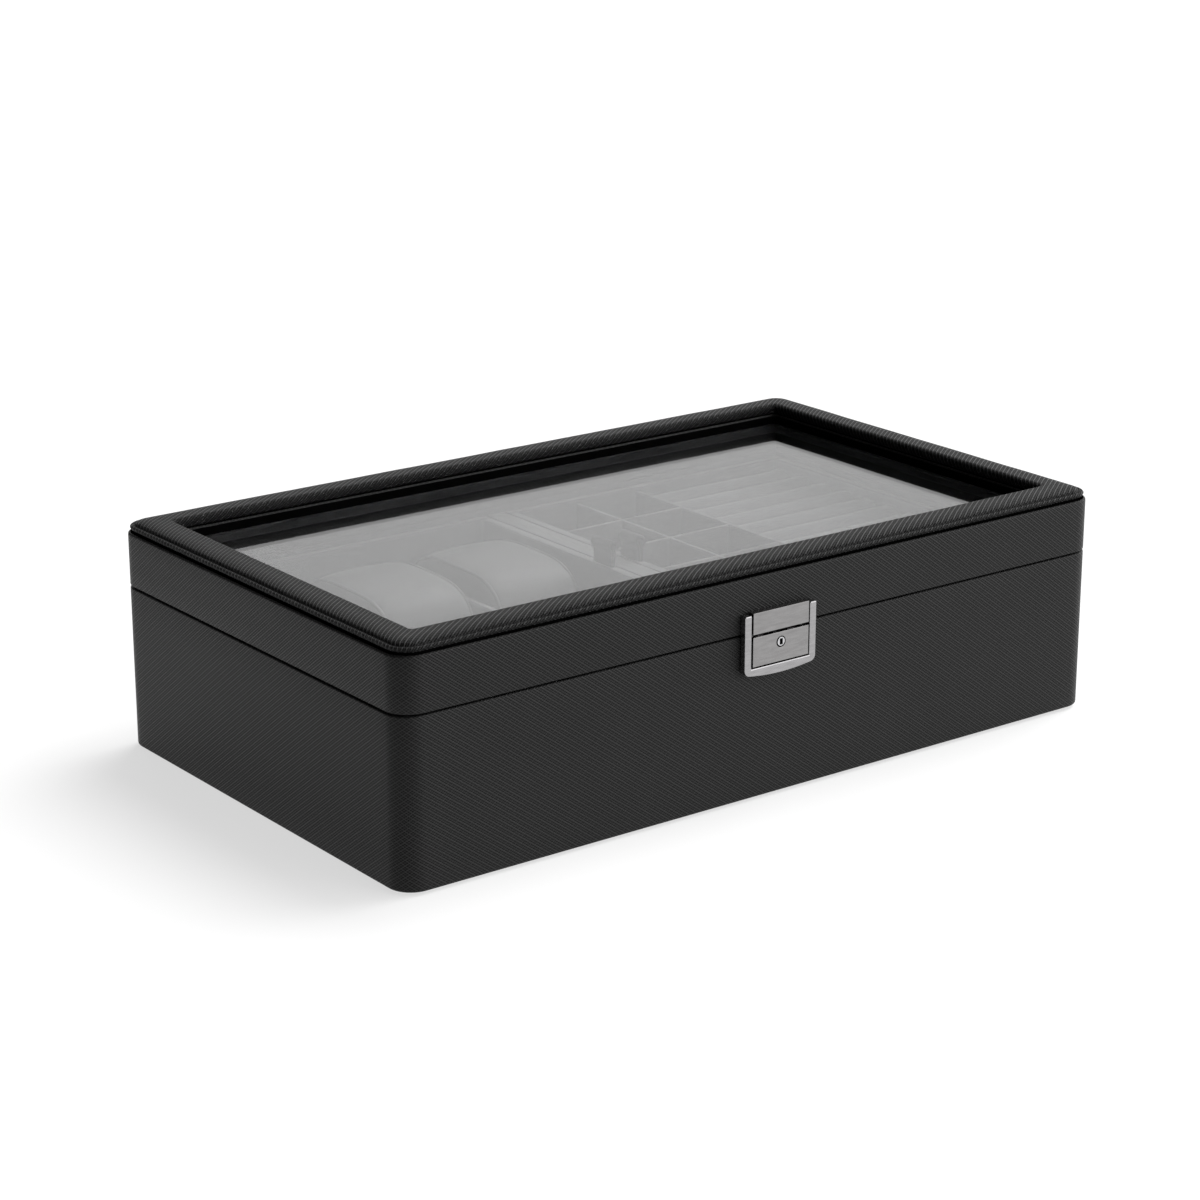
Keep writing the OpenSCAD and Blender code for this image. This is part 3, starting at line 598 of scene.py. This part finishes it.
def padCovering():
    foot = lidHigh.z
    start, stop, steps = pad["rollCentre"], pad["inner"] - pad["shoulder"], pad["steps"]
    reach, rise = start - pad["outer"], pad["rollHeight"]
    rollZ = padTop(start) - rise
    profile = []
    for k in range(13):
        angle = math.radians(222 - 132 * k / 12)
        profile.append((start + reach * math.cos(angle), rollZ + rise * math.sin(angle)))
    profile += [(start + (stop - start) * k / steps, padTop(start + (stop - start) * k / steps))
                for k in range(1, steps)]
    high = padTop(stop)
    profile += arc(stop, high - pad["shoulder"], pad["shoulder"], 90, 0, 8)
    profile += [(pad["inner"], foot + 1.1 * mm), (pad["inner"] - 0.5 * mm, foot + 0.4 * mm),
                (pad["inner"] - 1.6 * mm, foot + 0.02 * mm), (start + 1.3 * mm, foot + 0.02 * mm),
                (start + 0.9 * mm, foot + 0.6 * mm)]
    middle = (start + stop) / 2
    mesh = sweepProfile(profile, 2 * mm, flatFrom=middle, arcSteps=14, longStep=4 * mm)
    for vertex in mesh.vertices:
        if vertex.co.z > foot + 1.5 * mm:       # the filling is never quite even
            vertex.co.z += pad["unevenness"] * noise.noise(vertex.co * 45)
    smoothFaces(mesh)
    # painted shade on the inner lower part of the padded frame, next to the window
    paintShadeInside(mesh, foot - mm, foot + pad["paintedShadeBelow"], pad["inner"] - 0.1 * mm)
    piece = addPiece("pad_leather", mesh, finish["padTwill"], "lid",
                     ("pad_cover", "pad_foam"), finish["shadow"])


def padStitches():
    samples = outlineSamples(10, 1 * mm)
    inset = pad["stitchInset"]
    radius = max(cornerRadius - inset, 2 * mm)
    line = [outlinePoint(s, inset, radius)[0] for s in samples]
    line.append(line[0])
    z = padTop(inset) + stitch["radius"] * 0.4
    walked = [0.0]
    for a, b in zip(line, line[1:]):
        walked.append(walked[-1] + (b - a).length)
    count = round(walked[-1] / stitch["pitch"])
    ring = [(math.cos(math.pi * k / 3), math.sin(math.pi * k / 3)) for k in range(6)]
    along = [(-1.0, 0.25), (-0.82, 0.75), (-0.4, 1.0), (0.4, 1.0), (0.82, 0.75), (1.0, 0.25)]
    vertices, faces = [], []
    segment = 0
    for number in range(count):
        spot = walked[-1] * (number + 0.5) / count
        while walked[segment + 1] < spot:
            segment += 1
        a, b = line[segment], line[segment + 1]
        centre = a.lerp(b, (spot - walked[segment]) / (b - a).length)
        ahead = (b - a).normalized()
        ahead = Matrix.Rotation(random.uniform(-stitch["tilt"], stitch["tilt"]), 3, "Z") @ ahead
        side = Vector((-ahead.y, ahead.x, 0))
        first = len(vertices)
        for share, thick in along:
            for c, s in ring:
                offset = ahead * (share * stitch["length"] / 2)
                offset += side * (c * thick * stitch["radius"])
                offset += Vector((0, 0, s * thick * stitch["radius"]))
                vertices.append(centre + offset + Vector((0, 0, z)))
        for i in range(len(along) - 1):
            for j in range(6):
                jNext = (j + 1) % 6
                faces.append((first + i * 6 + j, first + i * 6 + jNext,
                              first + (i + 1) * 6 + jNext, first + (i + 1) * 6 + j))
        faces.append(tuple(first + j for j in reversed(range(6))))
        faces.append(tuple(first + (len(along) - 1) * 6 + j for j in range(6)))
    mesh = bpy.data.meshes.new("pad_stitches")
    mesh.from_pydata(vertices, [], faces)
    fixNormals(mesh)
    smoothFaces(mesh)
    addPiece("pad_stitches", mesh, finish["thread"], "lid")
    print("stitches:", count)


welt = {"radius": 0.30 * mm, "inset": 1.7 * mm, "lift": 1.15 * mm, "hem": (1.9 * mm, 3.0 * mm, 1.3 * mm)}


def padPiping():
    # a thin welt where the padded cover is turned under, over a strip of painted shade that darkens the
    # groove
    radius = welt["radius"]
    profile = arc(welt["inset"], lidHigh.z + welt["lift"], radius, 0, 360 * 11 / 12, 11)
    mesh = sweepProfile(profile, mm, arcSteps=14, longStep=5 * mm)
    smoothFaces(mesh)
    addPiece("pad_welt", mesh, finish["padTwill"], "lid", ("pad_piping",))
    # the hem strip is near-black: painted shade in the groove under the padded roll
    outside, inside, rise = welt["hem"]
    inner = [(outside, 0.0), (outside, rise), (inside, rise), (inside, 0.0)]
    mesh = sweepProfile([(inset, lidHigh.z + 0.01 * mm + z) for inset, z in inner], mm, longStep=10 * mm)
    addPiece("pad_hem_painted_shade", mesh, finish["shadow"], "lid")


padCovering()
padStitches()
padPiping()
print("padded frame made")


cushion = {"shrink": 2.2 * mm, "voxel": 3 * mm, "pressure": 4.0, "cap": 3.5 * mm, "pipingRadius": 0.8 * mm,
           "seamInset": 3.4 * mm, "crown": 1.6 * mm, "square": 0.62, "frames": 20, "mass": 0.2, "stiff": 25,
           "bend": 2, "uneven": 0.15 * mm}


def cushionBody(size, seed):
    # a roll with a flat foot: rounded at front and back, straight from side to side
    across, along = 12, 48
    half = size / 2 - Vector((cushion["shrink"],) * 3)
    outline = []
    for k in range(along):
        angle = 2 * math.pi * k / along
        c, s = math.cos(angle), math.sin(angle)
        reachY = math.copysign(abs(c) ** cushion["square"], c) * half.y
        reachZ = math.copysign(abs(s) ** cushion["square"], s) * half.z
        outline.append((reachY, reachZ))
    vertices, faces = [], []
    for i in range(across + 1):
        share = 2 * i / across - 1
        swell = cushion["crown"] * (1 - share * share)
        for y, z in outline:
            grow = 1 + swell / half.z * (1 if z > -half.z * 0.6 else 0)
            vertices.append((share * half.x, y * (1 + swell / half.y * 0.4), z * grow))
    for i in range(across):
        for k in range(along):
            kNext = (k + 1) % along
            faces.append((i * along + k, i * along + kNext, (i + 1) * along + kNext, (i + 1) * along + k))
    faces.append(tuple(reversed(range(along))))
    faces.append(tuple(across * along + k for k in range(along)))
    mesh = bpy.data.meshes.new("cushion")
    mesh.from_pydata(vertices, [], faces)
    fixNormals(mesh)
    work = bpy.data.objects.new("cushionWork", mesh)
    scene.collection.objects.link(work)
    remesh = work.modifiers.new("remesh", "REMESH")
    remesh.mode = "VOXEL"
    remesh.voxel_size = cushion["voxel"]
    applyModifiers(work)
    inflate(work, seed)
    smooth = work.modifiers.new("smooth", "SMOOTH")
    smooth.iterations = 3
    divide = work.modifiers.new("divide", "SUBSURF")
    divide.levels = divide.render_levels = 1
    applyModifiers(work)
    mesh = work.data
    bpy.data.objects.remove(work)
    fitMesh(mesh, size)
    return mesh


def inflate(work, seed):
    rest = [v.co.copy() for v in work.data.vertices]
    for v in work.data.vertices:
        v.co += v.normal * cushion["uneven"] * noise.noise(v.co * 60 + Vector((seed, 0, 0)))
    cloth = work.modifiers.new("cloth", "CLOTH")
    settings = cloth.settings
    settings.quality = 6
    settings.mass = cushion["mass"]
    settings.tension_stiffness = settings.compression_stiffness = cushion["stiff"]
    settings.bending_stiffness = cushion["bend"]
    settings.use_pressure = True
    settings.uniform_pressure_force = cushion["pressure"]
    settings.effector_weights.gravity = 0
    cloth.point_cache.frame_end = cushion["frames"]
    for step in range(1, cushion["frames"] + 1):
        scene.frame_set(step)
    applyModifiers(work)
    scene.frame_set(1)
    for v, start in zip(work.data.vertices, rest):
        moved = v.co - start
        if moved.length > cushion["cap"]:
            v.co = start + moved.normalized() * cushion["cap"]


def fitMesh(mesh, size):
    low = Vector(min(v.co[k] for v in mesh.vertices) for k in range(3))
    high = Vector(max(v.co[k] for v in mesh.vertices) for k in range(3))
    for v in mesh.vertices:
        v.co = Vector((v.co[k] - (low[k] + high[k]) / 2) / (high[k] - low[k]) * size[k] for k in range(3))


def pipedSeams(mesh, size):
    # a bead on each side, laid on the surface that it is sewn to
    tree = BVHTree.FromPolygons([v.co for v in mesh.vertices], [tuple(p.vertices) for p in mesh.polygons])
    radius, turns, around = cushion["pipingRadius"], 96, 10
    vertices, faces = [], []
    for side in (-1, 1):
        x = side * (size.x / 2 - cushion["seamInset"])
        line = []
        for k in range(turns):
            angle = 2 * math.pi * k / turns
            outward = Vector((0, math.cos(angle), math.sin(angle)))
            hit = tree.ray_cast(Vector((x, 0, 0)) + outward * size.y, -outward)[0]
            line.append(hit if hit is not None else Vector((x, 0, 0)) + outward * size.z / 2)
        for _ in range(2):
            line = [(line[k - 1] + line[k] * 2 + line[(k + 1) % turns]) / 4 for k in range(turns)]
        first = len(vertices)
        for k in range(turns):
            ahead = (line[(k + 1) % turns] - line[k - 1]).normalized()
            up = Vector((1, 0, 0)).cross(ahead)
            for j in range(around):
                turn = 2 * math.pi * j / around
                offset = math.cos(turn) * up + math.sin(turn) * Vector((1, 0, 0))
                vertices.append(line[k] + radius * offset)
        for k in range(turns):
            for j in range(around):
                a, b = first + k * around, first + ((k + 1) % turns) * around
                jNext = (j + 1) % around
                faces.append((a + j, a + jNext, b + jNext, b + j))
    bead = bpy.data.meshes.new("bead")
    bead.from_pydata(vertices, [], faces)
    fixNormals(bead)
    smoothFaces(bead)
    return bead


def watchCushions():
    low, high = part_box("watch_cushion_1")
    size = high - low
    bodySize = size - Vector((0, cushion["pipingRadius"], cushion["pipingRadius"])) * 1.6
    shapes = []
    for seed in (1, 2):
        body = cushionBody(bodySize, seed)
        smoothFaces(body)
        shapes.append((body, pipedSeams(body, bodySize)))
    for number in range(1, 7):
        low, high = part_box(f"watch_cushion_{number}")
        body, bead = shapes[number % 2]
        turn = Matrix.Rotation(math.pi * (number % 3 == 0), 4, "Z")
        place = Matrix.Translation((low + high) / 2) @ turn
        for kind, source, replaced in (("pillow", body, (f"watch_cushion_{number}",)), ("piping", bead, ())):
            mesh = source.copy()
            mesh.transform(place)
            piece = addPiece(f"cushion_{number}_{kind}", mesh, finish["leather"], f"cushion_{number}",
                             replaced)


watchCushions()
print("cushions made")


roll = {"count": 12, "gap": 0.5 * mm, "endRound": 2.6 * mm, "wobble": 0.12 * mm}


def ringRolls():
    low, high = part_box("ring_rolls")
    pitch = (high.y - low.y + roll["gap"]) / roll["count"]
    radius = (pitch - roll["gap"]) / 2
    floor = low.z
    straight = high.z - radius - floor
    section = [(-radius, 0.0), (-radius, straight * 0.5)]
    section += [(-radius * math.cos(math.pi * k / 16), straight + radius * math.sin(math.pi * k / 16))
                for k in range(17)]
    section += [(radius, straight * 0.5), (radius, 0.0)]
    ends = 6
    left = [(low.x + roll["endRound"] * (1 - math.cos(math.pi / 2 * k / ends)),
             math.sin(math.pi / 2 * k / ends)) for k in range(ends + 1)]
    inner = 14
    span = (low.x + roll["endRound"], high.x - roll["endRound"])
    middle = [(span[0] + (span[1] - span[0]) * k / inner, 1.0) for k in range(1, inner)]
    right = [(high.x + low.x - x, s) for x, s in reversed(left)]
    stations = left + middle + right
    vertices, faces = [], []
    for number in range(roll["count"]):
        y = low.y + radius + number * pitch
        first = len(vertices)
        for x, share in stations:
            trim = roll["endRound"] * (1 - share)
            for across, up in section:
                shrink = (radius - trim) / radius
                point = Vector((x, y + across * shrink, floor + up - trim * (up / (straight + radius))))
                wobble = noise.noise(point * 70 + Vector((number * 3.1, 0, 0))) * roll["wobble"]
                if up > 0:
                    point.z += wobble
                vertices.append(point)
        n = len(section)
        for i in range(len(stations) - 1):
            for j in range(n):
                jNext = (j + 1) % n
                faces.append((first + i * n + j, first + i * n + jNext,
                              first + (i + 1) * n + jNext, first + (i + 1) * n + j))
        faces.append(tuple(first + j for j in range(n)))
        faces.append(tuple(first + (len(stations) - 1) * n + j for j in reversed(range(n))))
    mesh = bpy.data.meshes.new("ring_rolls")
    mesh.from_pydata(vertices, [], faces)
    fixNormals(mesh)
    smoothFaces(mesh, 60)
    piece = addPiece("ring_rolls_cloth", mesh, finish["rollCloth"], "jewellery_tray",
                     ("ring_rolls",))


ringRolls()
print("ring rolls made")


tab = {"thickness": 0.9 * mm, "loopRadius": 1.9 * mm, "gap": 0.35 * mm}


def pullTab(node, name, body):
    low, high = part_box(node)
    middleX = (low.x + high.x) / 2
    t, gap, loop = tab["thickness"], tab["gap"], tab["loopRadius"]
    top = high.z - t / 2 - loop
    leg = gap / 2 + t / 2
    line = [(-leg, low.z), (-leg, low.z + (top - low.z) * 0.35), (-leg * 1.25, top - loop * 1.2)]
    line += [(loop * math.cos(a), top + loop * math.sin(a))
             for a in (math.radians(200 - 220 * k / 14) for k in range(15))]
    line += [(leg * 1.25, top - loop * 1.2), (leg, low.z + (top - low.z) * 0.35), (leg, low.z)]
    outer, inner = [], []
    for k, (x, z) in enumerate(line):
        before = Vector(line[max(k - 1, 0)])
        after = Vector(line[min(k + 1, len(line) - 1)])
        along = (after - before).normalized()
        away = Vector((-along.y, along.x)) * t / 2
        outer.append((x + away.x, z + away.y))
        inner.append((x - away.x, z - away.y))
    section = outer + inner[::-1]
    vertices = [(middleX + x, y, z) for y in (low.y, high.y) for x, z in section]
    n = len(section)
    half = len(line)
    faces = [(j, (j + 1) % n, n + (j + 1) % n, n + j) for j in range(n)]
    for j in range(half - 1):
        faces.append((j, j + 1, n - 2 - j, n - 1 - j))
        faces.append((n + j, n + j + 1, n + n - 2 - j, n + n - 1 - j))
    mesh = bpy.data.meshes.new(name)
    mesh.from_pydata(vertices, [], faces)
    work = bmesh.new()
    work.from_mesh(mesh)
    bmesh.ops.recalc_face_normals(work, faces=work.faces)
    sharp = [e for e in work.edges if e.calc_face_angle(0) > math.radians(60)]
    bmesh.ops.bevel(work, geom=sharp, offset=0.22 * mm, segments=3, profile=0.5, affect="EDGES",
                    clamp_overlap=True)
    work.to_mesh(mesh)
    work.free()
    smoothFaces(mesh, 50)
    addPiece(name, mesh, finish["strap"], body, (node,))


pullTab("watch_tray_tab", "watch_tray_loop", "watch_tray")
pullTab("jewellery_tray_tab", "jewellery_tray_loop", "jewellery_tray")
print("pull tabs made")


clothPieces = {
    "base": ["base_lining", "centre_partition", "watch_tray_ledges", "jewellery_tray_ledges"],
    "lid": ["lid_lining", "glass_retainer"],
    "watch_tray": ["watch_tray_walls", "watch_long_divider", "watch_cross_dividers"],
    "jewellery_tray": ["jewellery_tray_walls", "cell_column_divider", "cell_row_dividers", "ring_divider"],
}
clothRound = 0.45 * mm
for body, names in clothPieces.items():
    for node in names:
        roundedCopy(node, node + "_cloth", finish["cloth"], body, clothRound, 3)

metalPieces = [                                # node, body, finish, softened edge, trim across and upright
    ("push_plate", "push_plate", "plate", 0.18 * mm, 0.26 * mm, 0.22 * mm),
    ("strike_plate", "lid", "plate", 0.45 * mm, 0.26 * mm, 0.12 * mm),
    ("key_cylinder", "key_barrel", "steel", 0.12 * mm, 0.45 * mm, 0.45 * mm),
    ("hinge_base_leaf_left", "base", "gunmetal", 0.12 * mm, 0, 0),
    ("hinge_base_leaf_right", "base", "gunmetal", 0.12 * mm, 0, 0),
    ("hinge_lid_leaf_left", "lid", "gunmetal", 0.12 * mm, 0, 0),
    ("hinge_lid_leaf_right", "lid", "gunmetal", 0.12 * mm, 0, 0),
]
for node, body, kind, width, across, upright in metalPieces:
    slot = "steel" if kind == "steel" else "gunmetal"
    roundedCopy(node, node + "_metal", finish[kind], body, width, 3, (across, 0, upright))


latch = {"corner": 2.7 * mm, "bow": 1.1 * mm, "rail": 3.2 * mm, "sill": 4.0 * mm, "edge": 0.5 * mm}


def latchFrame():
    # the U-shaped frame: round lower corners that run into a curved sill
    low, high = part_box("latch_frame")
    half, corner, front, back = high.x, latch["corner"], low.y, -halfDepth - 0.05 * mm
    ends = low.z + latch["bow"]                 # height of the sill's curve where the corners begin
    line = [(half - latch["rail"], high.z), (half, high.z)]
    line += [(half - corner + corner * math.cos(a), ends + corner + corner * math.sin(a))
             for a in (math.radians(-80 * k / 8) for k in range(9))]
    reach = line[-1][0]
    rise = line[-1][1] - low.z
    line += [(reach * (1 - k / 8), low.z + rise * (1 - k / 8) ** 2) for k in range(1, 8)]
    line = line + [(0, low.z)] + [(-x, z) for x, z in reversed(line)]
    sill = low.z + latch["sill"]
    line += [(-half + latch["rail"], sill), (half - latch["rail"], sill)]
    work = bmesh.new()
    face = work.faces.new([work.verts.new((x, front, z)) for x, z in line])
    grown = bmesh.ops.extrude_face_region(work, geom=[face])["geom"]
    for vertex in (item for item in grown if isinstance(item, bmesh.types.BMVert)):
        vertex.co.y = back
    bmesh.ops.recalc_face_normals(work, faces=work.faces)
    sharp = [e for e in work.edges if e.calc_face_angle(0) > math.radians(35)]
    bmesh.ops.bevel(work, geom=sharp, offset=latch["edge"], segments=3, profile=0.5, affect="EDGES",
                    clamp_overlap=True)
    mesh = bpy.data.meshes.new("latch_frame_metal")
    work.to_mesh(mesh)
    work.free()
    smoothFaces(mesh)
    piece = addPiece("latch_frame_metal", mesh, finish["gunmetal"], "base", ("latch_frame",))
    piece.modifiers.new("flatFaces", "WEIGHTED_NORMAL").keep_sharp = True


keyway = {"halfWidth": 0.75 * mm, "halfHeight": 1.25 * mm, "proud": 0.05 * mm, "deep": 0.1 * mm,
          "round": 0.6 * mm}


def keyHole():
    # painted shade of the keyway: a near-black block on the face of the lock, upright at rest
    low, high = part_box("key_cylinder")
    middle = (low + high) / 2
    across, upright = keyway["halfWidth"], keyway["halfHeight"]
    mesh = boxMesh((middle.x - across, low.y - keyway["proud"], middle.z - upright),
                   (middle.x + across, low.y + keyway["deep"], middle.z + upright))
    piece = addPiece("keyway_painted_shade", mesh, finish["shadow"], "key_barrel")
    rounding = piece.modifiers.new("rounding", "BEVEL")
    rounding.width = keyway["round"]
    rounding.segments = 4
    rounding.affect = "EDGES"


latchFrame()
keyHole()
print("linings and metal made")

keptFinish = {
    "base_felt": "felt", "base_board": "board", "base_frame": "board", "lid_sides": "board",
    "lid_top_rails": "board", "floor_lining": "cloth", "watch_tray_floor": "cloth",
    "jewellery_tray_floor": "cloth", "glass_pane": "glass", "lock_case": "gunmetal", "lock_cam": "gunmetal",
    "strike_tongue": "gunmetal", "push_spring": "steel", "hinge_pin_left": "steel",
    "hinge_pin_right": "steel", "hinge_base_screws": "steel", "hinge_lid_screws": "steel",
}
for node, kind in keptFinish.items():
    for slot in nodes[node].material_slots:
        slot.material = finish[kind]
print("kept pieces finished:", len(keptFinish))


studio = {"floor": 0.34, "glow": 0.64, "reach": 8.0, "sun": 3.0, "sunAngle": 40, "sunFrom": (0.6, 0.1, 0.95),
          "dim": 0.03}
windows = [                                     # where from, how bright, where it starts and is full
    ((0.57, 0.75, 0.34), 0.85, 0.70, 0.93),
    ((0.78, -0.6, 0.15), 2.6, 0.3, 0.9),
]


def paleFloor():
    mesh = bpy.data.meshes.new("floor")
    reach = studio["reach"]
    mesh.from_pydata([(-reach, -reach, 0), (reach, -reach, 0), (reach, reach, 0), (-reach, reach, 0)], [],
                     [(0, 1, 2, 3)])
    material, _, shader = newMaterial("paleFloor")
    shader.inputs["Base Color"].default_value = (studio["floor"],) * 3 + (1,)
    shader.inputs["Roughness"].default_value = 0.9
    shader.inputs["Specular IOR Level"].default_value = 0.0
    shader.inputs["Emission Color"].default_value = (1, 1, 1, 1)
    shader.inputs["Emission Strength"].default_value = studio["glow"]
    mesh.materials.append(material)
    floor = bpy.data.objects.new("floor", mesh)
    scene.collection.objects.link(floor)


def softLight():
    sun = bpy.data.lights.new("softSun", "SUN")
    sun.energy = studio["sun"]
    sun.angle = math.radians(studio["sunAngle"])
    lamp = bpy.data.objects.new("softSun", sun)
    lamp.visible_glossy = False                 # no highlights of the sun on metal and leather
    lamp.rotation_euler = Vector(studio["sunFrom"]).to_track_quat("Z", "Y").to_euler()
    scene.collection.objects.link(lamp)
    world = bpy.data.worlds.new("studio")
    scene.world = world
    world.use_nodes = True
    tree = world.node_tree
    place = tree.nodes.new("ShaderNodeTexCoord").outputs["Generated"]
    total = studio["dim"]
    for direction, bright, start, full in windows:
        facing = tree.nodes.new("ShaderNodeVectorMath")
        facing.operation = "DOT_PRODUCT"
        tree.links.new(place, facing.inputs[0])
        facing.inputs[1].default_value = Vector(direction).normalized()
        glow = spread(tree, facing.outputs["Value"], 0.0, bright, start)
        glow.node.interpolation_type = "SMOOTHSTEP"
        glow.node.inputs["From Max"].default_value = full
        total = math2(tree, "ADD", glow, total)
    tree.links.new(total, tree.nodes["Background"].inputs["Strength"])
    tree.nodes["Background"].inputs["Color"].default_value = (1, 1, 1, 1)
    scene.view_settings.view_transform = "Standard"


shot = {"azimuth": -37.019, "elevation": 17.813, "distance": 1.235927, "lens": 92.016,
        "target": (-0.00793, 0.0, 0.054829)}


def addCamera():
    camera = bpy.data.objects.new("camera", bpy.data.cameras.new("camera"))
    scene.collection.objects.link(camera)
    camera.data.sensor_width = 36
    camera.data.lens = shot["lens"]
    azimuth, elevation = math.radians(shot["azimuth"]), math.radians(shot["elevation"])
    back = Vector((math.sin(azimuth) * math.cos(elevation), -math.cos(azimuth) * math.cos(elevation),
                   math.sin(elevation)))
    camera.location = Vector(shot["target"]) + back * shot["distance"]
    camera.rotation_euler = (-back).to_track_quat("-Z", "Y").to_euler()
    scene.camera = camera


paleFloor()
softLight()
addCamera()

print("scene ready")
